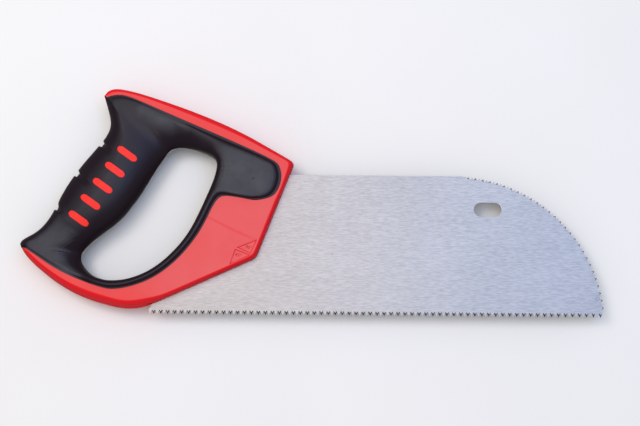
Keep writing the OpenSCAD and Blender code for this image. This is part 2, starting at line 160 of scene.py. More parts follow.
class Graph:
    """One material's nodes, with short calls to add and join them."""

    NOISE_RANGE: Span = (0.3, 0.7)
    LINE_FADE: float = 6.0

    def __init__(self, name: str) -> None:
        """Starts a material that holds one shader and reads Object coordinates.

        Args:
            name: the material's name.
        """
        self.material = bpy.data.materials.new(name)
        self.material.use_nodes = True
        self.tree = self.material.node_tree
        self.shader = self.tree.nodes["Principled BSDF"]
        self.place = self.tree.nodes.new("ShaderNodeTexCoord").outputs["Object"]

    def add(self, kind: str, inputs: dict[str | int, Input], **settings: str) -> bpy.types.Node:
        """Adds one node.

        Args:
            kind: the node's type, without its usual prefix.
            inputs: values or sockets by input name or number.
            settings: properties of the node.

        Returns:
            The new node.
        """
        node = self.tree.nodes.new("ShaderNode" + kind)
        for name, value in settings.items():
            setattr(node, name, value)
        for key, value in inputs.items():
            self.feed(node.inputs[key], value)
        return node

    def feed(self, socket: Socket, value: Input) -> None:
        """Links an input to another socket, or sets its own value.

        Args:
            socket: the input.
            value: the socket that feeds it, or its value.
        """
        if isinstance(value, bpy.types.NodeSocket):
            self.tree.links.new(value, socket)
        else:
            socket.default_value = value

    def set_shader(self, **inputs: Input) -> None:
        """Sets or links the shader's inputs, named with _ in place of a space."""
        for name, value in inputs.items():
            self.feed(self.shader.inputs[name.replace("_", " ")], value)

    def noise(self, blots: Noise) -> Socket:
        """Adds a noise.

        Args:
            blots: the noise's pattern.

        Returns:
            The noise value, near 0.5 on average.
        """
        turn = (0, 0, math.radians(blots.turn))
        turned = self.add("Mapping", {"Vector": self.place, "Rotation": turn}).outputs[0]
        scale = tuple(1.0 / (step * MM) for step in blots.size)
        spread = self.add("Mapping", {"Vector": turned, "Scale": scale}).outputs[0]
        inputs = {"Vector": spread, "Scale": 1.0, "Detail": blots.detail, "Roughness": blots.rough}
        return self.add("TexNoise", inputs).outputs["Fac"]

    def span(self, value: Socket, low: float, high: float, first: float = 0.0,
             last: float = 1.0) -> Socket:
        """Maps low..high of a value to first..last, held at both ends."""
        return self.add("MapRange", {0: value, 1: low, 2: high, 3: first, 4: last}).outputs[0]

    def spread(self, noise: Socket, first: float = 0.0, last: float = 1.0) -> Socket:
        """Maps the usual range of a noise to first..last."""
        return self.span(noise, *self.NOISE_RANGE, first, last)

    def step(self, operation: str, first: Value, second: Value = 0.0) -> Socket:
        """Adds one step of arithmetic."""
        return self.add("Math", {0: first, 1: second}, operation=operation).outputs[0]

    def times(self, first: Value, second: Value) -> Socket:
        """Multiplies two values."""
        return self.step("MULTIPLY", first, second)

    def plus(self, first: Value, second: Value) -> Socket:
        """Adds two values."""
        return self.step("ADD", first, second)

    def most(self, first: Value, second: Value) -> Socket:
        """Gives the larger of two values."""
        return self.step("MAXIMUM", first, second)

    def rest(self, value: Value) -> Socket:
        """Gives what a value leaves of 1."""
        return self.step("SUBTRACT", 1.0, value)

    def blend(self, share: Value, first: Tint, second: Tint, way: str = "MIX") -> Socket:
        """Blends two colours.

        Args:
            share: how much of the second colour shows.
            first: a colour of three numbers, or a socket.
            second: a colour of three numbers, or a socket.
            way: the blend type.

        Returns:
            The blended colour.
        """
        first = (*first, 1.0) if isinstance(first, tuple) else first
        second = (*second, 1.0) if isinstance(second, tuple) else second
        node = self.add("Mix", {0: share, 6: first, 7: second}, data_type="RGBA", blend_type=way)
        return node.outputs[2]

    def bump(self, height: Socket, depth: float, below: Socket | None = None) -> Socket:
        """Adds a bump.

        Args:
            height: the pattern that is raised.
            depth: its depth in mm.
            below: another bump that this one lies on.

        Returns:
            The bumped normal.
        """
        inputs = {"Height": height, "Strength": 1.0, "Distance": depth * MM}
        if below is not None:
            inputs["Normal"] = below
        return self.add("Bump", inputs).outputs[0]

    def near_line(self, start: Spot, end: Spot, width: float) -> Socket:
        """Gives 1 on a straight line drawn through the saw's sides and 0 away from it.

        Args:
            start: the line's first end.
            end: the line's last end.
            width: half the width in mm at which the line has faded out.

        Returns:
            The strength of the line.
        """
        first = from_heel(start)
        run = from_heel(end) - first
        turn = (0, 0, -math.atan2(run.y, run.x))
        away = self.add("VectorMath", {0: self.place, 1: first}, operation="SUBTRACT").outputs[0]
        along = self.add("Mapping", {"Vector": away, "Rotation": turn}).outputs[0]
        parts = self.add("SeparateXYZ", {0: along}).outputs
        fade = self.LINE_FADE * MM
        across = self.span(self.step("ABSOLUTE", parts[1]), 0.0, width * MM, 1.0, 0.0)
        head = self.span(parts[0], 0.0, fade)
        tail = self.span(parts[0], run.length - fade, run.length, 1.0, 0.0)
        return self.times(across, self.times(head, tail))

    def near_ring(self, middle: Spot, radius: float, width: float) -> Socket:
        """Gives 1 on a ring drawn through the saw's sides and 0 away from it.

        Args:
            middle: the ring's middle.
            radius: the ring's radius in mm, or 0 for a dot.
            width: distance in mm at which the ring has faded out.

        Returns:
            The strength of the ring.
        """
        flat = self.add("VectorMath", {0: self.place, 1: (1.0, 1.0, 0.0)}, operation="MULTIPLY")
        centre = (*from_heel(middle).xy, 0.0)
        away = self.add("VectorMath", {0: flat.outputs[0], 1: centre}, operation="DISTANCE")
        off = self.step("SUBTRACT", away.outputs["Value"], radius * MM)
        return self.span(self.step("ABSOLUTE", off), 0.0, width * MM, 1.0, 0.0)

    def blemish(self, mark: Blemish) -> Socket:
        """Gives the strength of a small mark."""
        return self.times(self.near_ring(mark.spot, mark.radius, mark.width), mark.share)

    def steepness(self, from_lean: float, to_lean: float) -> Socket:
        """Gives 0 on faces square to Z and 1 on steep ones.

        Args:
            from_lean: lean in degrees below which a face counts as flat.
            to_lean: lean in degrees above which it counts as steep.

        Returns:
            The steepness.
        """
        normal = self.tree.nodes.new("ShaderNodeNewGeometry").outputs["True Normal"]
        upright = self.step("ABSOLUTE", self.add("SeparateXYZ", {0: normal}).outputs[2])
        steep, flat = (math.cos(math.radians(lean)) for lean in (to_lean, from_lean))
        return self.span(upright, steep, flat, 1.0, 0.0)


@dataclass(frozen=True)
class BrushedSteel:
    """Satin plate, brushed along its length, with painted shade on its steep faces, such as the
    tooth bevels.
    """

    pale: Colour = (0.575, 0.545, 0.528)
    dull: Colour = (0.396, 0.370, 0.357)
    # painted shade: near black for steep faces, standing in for the dark surroundings they mirror
    painted_edge_shade: Colour = (0.075, 0.068, 0.072)
    scratched: Colour = (0.74, 0.73, 0.73)
    # tone of a dark speck and of the painted shade ring of a small dent
    speck_and_painted_dent_shade: Colour = (0.16, 0.15, 0.15)
    streak: Noise = Noise((4.8, 0.74, 4.0), 3.0, 0.6, 0.62)
    band: Noise = Noise((30.0, 2.4, 10.0), 2.0, -0.4)
    cloud: Noise = Noise((60.0, 36.0, 20.0))
    scratch: Noise = Noise((14.0, 0.32, 4.0), 1.0, 3.5)
    streak_range: Span = (0.34, 0.66)
    band_shade: Span = (0.97, 1.02)
    cloud_shade: Span = (0.96, 1.03)
    scratch_range: Span = (0.67, 0.75)
    scratch_share: float = 0.2
    # painted shade: a dark ring standing in for the shade inside a small hardness-test dent; the
    # speck below is a dark speck
    painted_dent_shade: Blemish = Blemish((322.3, 10.6), 0.55, 0.55, 1.15)
    speck: Blemish = Blemish((131.3, 41.3), 0.8, 0.6)
    edge_leans: Span = (10.0, 40.0)
    roughness: Span = (0.34, 0.44)
    edge_polish: float = 0.10
    streak_depth: float = 0.008
    band_depth: float = 0.006
    metallic: float = 0.62

    def material(self) -> bpy.types.Material:
        """Makes the steel's nodes.

        Returns:
            The material.
        """
        graph = Graph("blade_brushed")
        streak, band, cloud = map(graph.noise, (self.streak, self.band, self.cloud))
        tone = graph.blend(graph.span(streak, *self.streak_range), self.dull, self.pale)
        shade = graph.times(graph.spread(band, *self.band_shade),
                            graph.spread(cloud, *self.cloud_shade))
        grey = graph.add("CombineXYZ", {0: shade, 1: shade, 2: shade}).outputs[0]
        tone = graph.blend(1.0, tone, grey, "MULTIPLY")
        scratch = graph.span(graph.noise(self.scratch), *self.scratch_range)
        tone = graph.blend(graph.times(scratch, self.scratch_share), tone, self.scratched)
        # Darkens the speck and paints the dent's ring of shade.
        marks = graph.most(graph.blemish(self.painted_dent_shade), graph.blemish(self.speck))
        tone = graph.blend(marks, tone, self.speck_and_painted_dent_shade)
        # Painted shade: steep faces such as the tooth bevels and the plate's edges blend towards
        # near black.
        edge = graph.steepness(*self.edge_leans)
        tone = graph.blend(edge, tone, self.painted_edge_shade)
        rough = graph.step("SUBTRACT", graph.spread(streak, *self.roughness),
                           graph.times(edge, self.edge_polish))
        relief = graph.bump(streak, self.streak_depth, graph.bump(band, self.band_depth))
        graph.set_shader(Base_Color=tone, Metallic=self.metallic, Roughness=rough, Normal=relief)
        return graph.material


@dataclass(frozen=True)
class RedPlastic:
    """Hard moulded plastic with a slight gloss, painted sheen on its flat faces, sink marks and a
    faint weld line.
    """

    # deep is the plastic's own red, kept on steep faces; the next two tones are painted sheen,
    # pinker reds for the flat faces that stand in for overhead light mirrored in them
    deep: Colour = (0.72, 0.003, 0.010)
    pale: Colour = (0.73, 0.096, 0.096)
    painted_sheen_red: Colour = (0.76, 0.059, 0.056)
    dark: Colour = (0.70, 0.020, 0.022)
    scuffed: Colour = (0.90, 0.16, 0.14)
    cloud: Noise = Noise((22.0, 22.0, 16.0), 3.0)
    grain: Noise = Noise((0.55, 0.55, 0.55))
    sink: Noise = Noise((14.0, 14.0, 14.0), 1.0)
    scuff: Noise = Noise((9.0, 0.5, 3.0), 2.0, 38.0)
    scuff_range: Span = (0.68, 0.77)
    scuff_share: float = 0.15
    flat_leans: Span = (3.0, 25.0)
    painted_sheen_spread: Span = (0.76, 1.0)
    # painted sheen: the flats turn paler round this spot and richer away from it
    painted_sheen_pool: Spot = (54.0, 48.0)
    painted_sheen_pool_reach: float = 90.0
    painted_sheen_pool_range: Span = (0.1, 0.55)
    weld: tuple[tuple[Spot, Spot], ...] = (
        ((36.3, 69.1), (66.5, 54.0)),
        ((59.0, 57.8), (76.5, 50.0)),
    )
    weld_width: float = 1.5
    weld_share: float = 0.45
    roughness: Span = (0.30, 0.36)
    scuff_rough: float = 0.10
    weld_rough: float = 0.08
    steep_rough: float = 0.16
    grain_depth: float = 0.012
    sink_depth: float = 0.08
    ior: float = 1.4
    specular: float = 0.3

    def material(self, name: str = "handle_red") -> bpy.types.Material:
        """Makes the plastic's nodes.

        Args:
            name: the material's name.

        Returns:
            The material.
        """
        graph = Graph(name)
        cloud, grain, sink = map(graph.noise, (self.cloud, self.grain, self.sink))
        scuff = graph.span(graph.noise(self.scuff), *self.scuff_range)
        # Painted sheen: a paler tone pooled round the cheek's middle and shown only on flat faces;
        # steep faces keep the deep red.
        painted_sheen_pool = graph.near_ring(self.painted_sheen_pool, 0.0, self.painted_sheen_pool_reach)
        tone = graph.blend(graph.span(painted_sheen_pool, *self.painted_sheen_pool_range), self.painted_sheen_red, self.pale)
        steep = graph.steepness(*self.flat_leans)
        flat = graph.times(graph.rest(steep), graph.spread(cloud, *self.painted_sheen_spread))
        tone = graph.blend(flat, self.deep, tone)
        weld = graph.most(*(graph.near_line(*run, self.weld_width) for run in self.weld))
        tone = graph.blend(graph.times(weld, self.weld_share), tone, self.dark)
        tone = graph.blend(graph.times(scuff, self.scuff_share), tone, self.scuffed)
        rough = graph.spread(cloud, *self.roughness)
        rough = graph.plus(rough, graph.times(scuff, self.scuff_rough))
        rough = graph.plus(rough, graph.times(weld, self.weld_rough))
        rough = graph.plus(rough, graph.times(steep, self.steep_rough))
        relief = graph.bump(grain, self.grain_depth, graph.bump(sink, self.sink_depth))
        graph.set_shader(Base_Color=tone, Roughness=rough, Normal=relief, IOR=self.ior,
                         Specular_IOR_Level=self.specular)
        return graph.material


@dataclass(frozen=True)
class SoftRubber:
    """Black overmoulding with a fine spark texture and painted sheen on its flats, along its top
    bend and in patches.
    """

    deep: Colour = (0.0130, 0.0062, 0.0105)
    # the painted sheen's lighter grey
    painted_sheen_grey: Colour = (0.0535, 0.055, 0.064)
    sky: Colour = (0.90, 0.93, 1.0)
    nicked: Colour = (0.002, 0.002, 0.002)
    cloud: Noise = Noise((18.0, 18.0, 12.0), 4.0, 0.0, 0.6)
    grain: Noise = Noise((0.45, 0.45, 0.45), 3.0)
    wave: Noise = Noise((9.0, 9.0, 9.0), 1.0)
    cloud_range: Span = (0.34, 0.70)
    cloud_shade: Span = (0.6, 1.0)
    painted_sheen_leans: Span = (5.0, 20.0)
    painted_sheen_share: float = 0.24
    # painted highlight: a lighter band along the grip's top bend
    sheen: tuple[Spot, Spot] = ((-14.0, 146.5), (29.0, 128.0))
    sheen_width: float = 10.0
    sheen_leans: Span = (9.0, 30.0)
    sheen_share: float = 0.95
    # painted sheen: lighter patches on the pad's flat top and on the lower horn
    painted_shine: tuple[SheenPatch, ...] = (
        SheenPatch((74.0, 93.0), 46.0, (1.0, 7.5), least=11.25),
        SheenPatch((-68.0, 40.0), 38.0, (9.0, 30.0), 0.85),
    )
    sheen_patch_range: Span = (0.05, 0.55)
    sheen_patch_rise: float = 0.45
    nick: Blemish = Blemish((74.0, 94.3), 1.1, 0.8)
    nick_rough: float = 0.2
    roughness: Span = (0.42, 0.34)
    grain_rough: Span = (-0.02, 0.02)
    grain_depth: float = 0.014
    wave_depth: float = 0.05
    ior: float = 1.5
    specular: float = 0.3

    def painted_sheen(self, graph: Graph) -> Socket:
        """Finds where sheen is painted on the rubber: on flats, along the top bend and in patches.

        Args:
            graph: the rubber's nodes.

        Returns:
            The strength of the painted sheen.
        """
        along = graph.add("SeparateXYZ", {0: graph.place}).outputs[2]
        height = graph.step("ABSOLUTE", graph.step("SUBTRACT", along, MIDDLE))
        painted_sheen = graph.span(graph.steepness(*self.painted_sheen_leans), 0.0, 1.0, self.painted_sheen_share, 0.0)
        sheen = graph.span(graph.steepness(*self.sheen_leans), 0.0, 1.0, self.sheen_share, 0.0)
        line = graph.near_line(*self.sheen, self.sheen_width)
        painted_sheen = graph.most(graph.times(line, sheen), painted_sheen)
        for painted_shine in self.painted_shine:
            near = graph.near_ring(painted_shine.spot, 0.0, painted_shine.reach)
            near = graph.span(near, *self.sheen_patch_range, 0.0, painted_shine.share)
            high = graph.span(height, painted_shine.least * MM, (painted_shine.least + self.sheen_patch_rise) * MM)
            flat = graph.rest(graph.steepness(*painted_shine.leans))
            painted_sheen = graph.most(graph.times(graph.times(near, high), flat), painted_sheen)
        return painted_sheen

    def material(self) -> bpy.types.Material:
        """Makes the rubber's nodes.

        Returns:
            The material.
        """
        graph = Graph("grip_rubber")
        cloud, grain, wave = map(graph.noise, (self.cloud, self.grain, self.wave))
        # Painted sheen: a lighter grey on flats, along the top bend and in patches, broken into
        # blotches by noise, stands in for mirrored overhead light.
        painted_shine = graph.times(self.painted_sheen(graph),
                           graph.span(cloud, *self.cloud_range, *self.cloud_shade))
        tone = graph.blend(painted_shine, self.deep, self.painted_sheen_grey)
        nick = graph.blemish(self.nick)
        tone = graph.blend(nick, tone, self.nicked)
        rough = graph.plus(graph.spread(cloud, *self.roughness),
                           graph.spread(grain, *self.grain_rough))
        rough = graph.plus(rough, graph.times(nick, self.nick_rough))
        relief = graph.bump(grain, self.grain_depth, graph.bump(wave, self.wave_depth))
        graph.set_shader(Base_Color=tone, Roughness=rough, Normal=relief, IOR=self.ior,
                         Specular_IOR_Level=self.specular, Specular_Tint=(*self.sky, 1.0))
        return graph.material


@dataclass(frozen=True)
class InlayRed:
    """Soft red of the bars let into the grip, brighter and duller than the core."""

    bright: Colour = (0.93, 0.030, 0.018)
    dark: Colour = (0.86, 0.022, 0.014)
    cloud: Noise = Noise((3.0, 3.0, 3.0), 3.0)
    grain: Noise = Noise((0.4, 0.4, 0.4))
    roughness: Span = (0.45, 0.55)
    grain_depth: float = 0.012
    ior: float = 1.38

    def material(self) -> bpy.types.Material:
        """Makes the inlay's nodes.

        Returns:
            The material.
        """
        graph = Graph("bar_red")
        cloud, grain = map(graph.noise, (self.cloud, self.grain))
        tone = graph.blend(graph.spread(cloud), self.dark, self.bright)
        graph.set_shader(Base_Color=tone, Roughness=graph.spread(grain, *self.roughness),
                         Normal=graph.bump(grain, self.grain_depth), IOR=self.ior)
        return graph.material


@dataclass(frozen=True)
class FlashLine:
    """Tone of a thin bead along the line where the mould's halves meet, blotched between two
    tones.
    """

    name: str
    tone: Colour
    worn: Colour
    patch: Noise = Noise((7.0, 7.0, 7.0), 3.0)
    patch_range: Span = (0.38, 0.62)
    roughness: Span = (0.30, 0.45)

    def material(self) -> bpy.types.Material:
        """Makes the nodes of the parting line.

        Returns:
            The material.
        """
        graph = Graph(self.name)
        patch = graph.noise(self.patch)
        tone = graph.blend(graph.span(patch, *self.patch_range), self.tone, self.worn)
        graph.set_shader(Base_Color=tone, Roughness=graph.spread(patch, *self.roughness))
        return graph.material


@dataclass(frozen=True)
class PaleFloor:
    """Plain pale floor with a little unevenness."""

    tone: Colour = (0.80, 0.785, 0.76)
    light: Colour = (0.82, 0.81, 0.79)
    cloud: Noise = Noise((160.0, 160.0, 160.0))
    roughness: float = 0.75

    def material(self) -> bpy.types.Material:
        """Makes the floor's nodes.

        Returns:
            The material.
        """
        graph = Graph("floor_pale")
        shade = graph.blend(graph.spread(graph.noise(self.cloud)), self.tone, self.light)
        graph.set_shader(Base_Color=shade, Roughness=self.roughness)
        return graph.material


def merged_copy(node: str) -> bmesh.types.BMesh:
    """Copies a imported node's loose triangles into one joined mesh.

    Args:
        node: the node's name.

    Returns:
        The joined mesh.
    """
    mesh = bmesh.new()
    mesh.from_mesh(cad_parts[node].data)
    bmesh.ops.remove_doubles(mesh, verts=mesh.verts, dist=WELD)
    return mesh


def pair_triangles(mesh: bmesh.types.BMesh) -> None:
    """Turns pairs of triangles into four-sided faces, so that smoothing runs evenly."""
    bmesh.ops.join_triangles(mesh, faces=mesh.faces[:], cmp_seam=False, cmp_sharp=False,
                             cmp_uvs=False, cmp_vcols=False, cmp_materials=False,
                             angle_face_threshold=math.radians(PAIR_FOLD),
                             angle_shape_threshold=math.radians(PAIR_SHAPE))


def keep_sharp(mesh: bmesh.types.BMesh, angle: float,
               also: Callable[[bmesh.types.BMEdge], bool]) -> None:
    """Creases the edges that stay sharp when a mesh is smoothed.

    Args:
        mesh: the mesh.
        angle: fold in degrees from which an edge is sharp.
        also: picks out further sharp edges.
    """
    crease = mesh.edges.layers.float.new("crease_edge")
    for edge in mesh.edges:
        if edge.calc_face_angle(0.0) > math.radians(angle) or also(edge):
            edge[crease] = 1.0


def evaluated(piece: bpy.types.Object) -> bpy.types.Object:
    """Gives an object as it stands after its modifiers."""
    return piece.evaluated_get(bpy.context.evaluated_depsgraph_get())


def finished(mesh: bmesh.types.BMesh, name: str, coat: bpy.types.Material,
             rounds: int = 0) -> bpy.types.Object:
    """Makes an object of a mesh, smooths it and lets it ride on the saw.

    Args:
        mesh: the mesh, which is used up.
        name: the piece's name.
        coat: its material.
        rounds: how many times the mesh is smoothed and split.

    Returns:
        The finished piece.
    """
    data = bpy.data.meshes.new(name)
    mesh.to_mesh(data)
    mesh.free()
    piece = bpy.data.objects.new(name, data)
    bpy.context.scene.collection.objects.link(piece)
    if rounds:
        step = piece.modifiers.new("rounding", "SUBSURF")
        step.levels = step.render_levels = rounds
        baked = bpy.data.meshes.new_from_object(evaluated(piece))
        piece.modifiers.clear()
        piece.data = baked
        bpy.data.meshes.remove(data)
    piece.data.name = name
    piece.data.materials.clear()
    piece.data.materials.append(coat)
    piece.data.shade_smooth()
    piece.data.set_sharp_from_angle(angle=math.radians(SHADE_FOLD))
    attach(piece, "root")
    LOG.info("%s: %d faces", name, len(piece.data.polygons))
    return piece


def mould_line(piece: bpy.types.Object, keep: Callable[[Vector, Vector], bool], thick: float,
               name: str, coat: bpy.types.Material) -> bpy.types.Object:
    """Lays a thin bead along a piece's middle plane, where the mould's halves met.

    Args:
        piece: the smoothed piece.
        keep: picks points by place and normal.
        thick: the bead's radius in mm.
        name: the bead's name.
        coat: the bead's material.

    Returns:
        The bead.
    """
    path = bmesh.new()
    path.from_mesh(piece.data)
    on_line = {vert for vert in path.verts
               if abs(vert.co.z - MIDDLE) < PLANE_SLACK * MM and keep(vert.co, vert.normal)}
    strays = [edge for edge in path.edges if not all(vert in on_line for vert in edge.verts)]
    bmesh.ops.delete(path, geom=path.faces[:], context="FACES_ONLY")
    bmesh.ops.delete(path, geom=strays, context="EDGES")
    wire = bpy.data.meshes.new(name)
    path.to_mesh(wire)
    path.free()
    holder = bpy.data.objects.new(name + "_path", wire)
    bpy.context.scene.collection.objects.link(holder)
    holder.modifiers.new("bead", "SKIN")
    for spot in wire.skin_vertices[0].data:
        spot.radius = (thick * MM, thick * MM)
    bead = bmesh.new()
    bead.from_mesh(evaluated(holder).to_mesh())
    bpy.data.objects.remove(holder)
    return finished(bead, name, coat)


@dataclass
class SteelBlade:
    """The toothed plate, which keeps its solid and gets its finish."""

    node: str = "blade"
    finish: BrushedSteel = field(default_factory=BrushedSteel)

    def dress(self) -> None:
        """Puts the steel on the plate."""
        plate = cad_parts[self.node]
        plate.data.materials.clear()
        plate.data.materials.append(self.finish.material())
        LOG.info("%s: %d faces", self.node, len(plate.data.polygons))


@dataclass
class AngleMark:
    """One shallow three-sided recess in the cheek, with its angle in small digits.

    The recess is deepest at the corner named first and rises towards the side across from it.

    Attributes:
        corners: the recess's corners.
        digits: the angle.
        spot: the middle of the digits.
        turn: turn of the digits in degrees.
    """

    corners: tuple[Spot, Spot, Spot]
    digits: str
    spot: Spot
    turn: float

    def places(self) -> list[Vector]:
        """Gives the corners in the part's frame, on the middle plane."""
        return [from_heel(corner) for corner in self.corners]

    def reach(self, point: Vector, number: int) -> float:
        """Says how far inside one side a point lies.

        Args:
            point: the point, seen along Z.
            number: the side that starts at the corner of this number.

        Returns:
            The distance in metres, below 0 outside.
        """
        spots = self.places()
        first, last, across = (spots[(number + step) % len(spots)] for step in range(len(spots)))
        inward = (last - first).cross(UP).normalized()
        inward *= math.copysign(1.0, inward.dot(across - first))
        return inward.dot(point - first)

    def holds(self, point: Vector, margin: float = 0.0) -> bool:
        """Says whether a point lies within the recess or its margin in mm, seen along Z."""
        return all(self.reach(point, number) > -margin * MM for number in range(len(self.corners)))

    def rise(self, point: Vector) -> float:
        """Gives 1 at the deep corner and 0 along the side across from it."""
        return held(self.reach(point, 1) / self.reach(self.places()[0], 1))

    def walls(self) -> list[tuple[Vector, Vector]]:
        """Gives a point and a normal for the upright plane of each side."""
        spots = self.places()
        return [(first, (last - first).cross(UP).normalized())
                for first, last in zip(spots, spots[1:] + spots[:1])]


@dataclass
class RedHandle:
    """The hard core of the handle: cheeks, bands and horns, rounded from the solid's facets.

    Lengths are in mm.
    """

    node: str = "handle_core"
    finish: RedPlastic = field(default_factory=RedPlastic)
    # The digits' darker red is painted shade, standing in for the shade that picks out the small
    # raised digits.
    painted_shade_digit_finish: RedPlastic = RedPlastic(deep=(0.42, 0.005, 0.008), pale=(0.50, 0.008, 0.010))
    cheek: float = 9.5
    cheek_slack: float = 0.05
    cheek_upright: float = 0.9999
    guard_ring: float = 0.22
    sharp_from: float = 52.0
    parting_slack: float = 0.005
    parting_fold: float = 0.05
    recess: float = 0.42
    recess_least: float = 0.6
    wall: float = 0.5
    mark_margin: float = 0.1
    mark_level: float = 0.9
    digit_size: float = 3.3
    digit_depth: float = 0.06
    digit_lift: float = 0.03
    digit_steps: int = 3
    marks: tuple[AngleMark, ...] = (
        AngleMark(((63.3, 44.6), (77.6, 50.4), (73.0, 40.1)), "90\u00b0", (71.6, 44.5), -20.0),
        AngleMark(((61.9, 43.5), (73.0, 39.2), (58.2, 32.4)), "45\u00b0", (64.2, 38.9), -20.0),
    )

    def level(self, side: Side) -> float:
        """Gives the height of one cheek."""
        return MIDDLE + side.value * self.cheek * MM

    def flat_faces(self, mesh: bmesh.types.BMesh, side: Side) -> list[bmesh.types.BMFace]:
        """Finds the faces of one flat cheek.

        Args:
            mesh: the core's mesh.
            side: the cheek's side.

        Returns:
            The cheek's faces.
        """
        height = self.level(side)
        return [face for face in mesh.faces
                if face.normal.z * side.value > self.cheek_upright
                and abs(face.calc_center_median().z - height) < self.cheek_slack * MM]

    def sink_marks(self, mesh: bmesh.types.BMesh, side: Side) -> None:
        """Presses the angle marks into one cheek.

        Args:
            mesh: the core's mesh.
            side: the cheek's side.
        """
        for mark in self.marks:
            for spot, normal in mark.walls():
                flat = self.flat_faces(mesh, side)
                edges = {edge for face in flat for edge in face.edges}
                verts = {vert for face in flat for vert in face.verts}
                bmesh.ops.bisect_plane(mesh, geom=[*flat, *edges, *verts], dist=CUT_SLACK,
                                       plane_co=spot, plane_no=normal)
            inside = [face for face in self.flat_faces(mesh, side)
                      if mark.holds(face.calc_center_median())]
            bmesh.ops.inset_region(mesh, faces=inside, thickness=self.wall * MM,
                                   use_even_offset=True, use_boundary=True)
            for vert in {vert for face in inside for vert in face.verts}:
                vert.co.z -= side.value * self.depth(mark, vert.co) * MM

    def depth(self, mark: AngleMark, point: Vector) -> float:
        """Gives the depth of a recess's floor at a point, in mm."""
        return self.recess * (self.recess_least + (1.0 - self.recess_least) * mark.rise(point))

    def build(self) -> bpy.types.Object:
        """Rounds the core and presses its marks.

        Returns:
            The finished core.
        """
        mesh = merged_copy(self.node)
        for side in Side:
            bmesh.ops.inset_region(mesh, faces=self.flat_faces(mesh, side),
                                   thickness=self.guard_ring * MM, use_even_offset=True,
                                   use_boundary=True)
        for side in Side:
            self.sink_marks(mesh, side)
        pair_triangles(mesh)
        keep_sharp(mesh, self.sharp_from, self.stays_sharp)
        core = finished(mesh, "red_core", self.finish.material(), 2)
        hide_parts(self.node)
        return core

    def stays_sharp(self, edge: bmesh.types.BMEdge) -> bool:
        """Picks the low folds that stay sharp."""
        return self.on_parting_line(edge) or self.on_mark(edge)

    def on_parting_line(self, edge: bmesh.types.BMEdge) -> bool:
        """Picks the edges where the two halves of the mould met."""
        return edge.calc_face_angle(0.0) > self.parting_fold and all(
            abs(vert.co.z - MIDDLE) < self.parting_slack * MM for vert in edge.verts)

    def on_mark(self, edge: bmesh.types.BMEdge) -> bool:
        """Picks the folded edges of the angle marks."""
        least = self.mark_level * self.cheek * MM
        return edge.calc_face_angle(0.0) > FOLD and any(
            all(mark.holds(vert.co, self.mark_margin) and abs(vert.co.z - MIDDLE) > least
                for vert in edge.verts) for mark in self.marks)

    def add_digits(self, mesh: bmesh.types.BMesh, mark: AngleMark, side: Side) -> None:
        """Raises the digits of one mark in one cheek.

        Args:
            mesh: the mesh that holds all digits.
            mark: the angle mark.
            side: the cheek's side.
        """
        words = bpy.data.curves.new("digits", "FONT")
        words.body = mark.digits
        words.size = self.digit_size * MM
        words.extrude = self.digit_depth * MM
        words.align_x = "CENTER"
        words.align_y = "CENTER"
        words.resolution_u = self.digit_steps
        holder = bpy.data.objects.new("digits", words)
        bpy.context.scene.collection.objects.link(holder)
        solid = evaluated(holder).to_mesh()
        spot = from_heel(mark.spot)
        spot.z = self.level(side) - side.value * (self.depth(mark, spot) - self.digit_lift) * MM
        place = Matrix.Translation(spot)
        if side is Side.FAR:
            place = place @ Matrix.Rotation(math.pi, 4, "Y")
        solid.transform(place @ Matrix.Rotation(math.radians(mark.turn), 4, "Z"))
        mesh.from_mesh(solid)
        bpy.data.objects.remove(holder)
        bpy.data.curves.remove(words)

    def build_digits(self) -> bpy.types.Object:
        """Raises the angle digits in the recesses of both cheeks.

        Returns:
            The digits of all marks, as one piece.
        """
        mesh = bmesh.new()
        for side in Side:
            for mark in self.marks:
                self.add_digits(mesh, mark, side)
        # The darker red is painted shade.
        coat = self.painted_shade_digit_finish.material("digit_painted_shade")
        return finished(mesh, "angle_digits", coat)


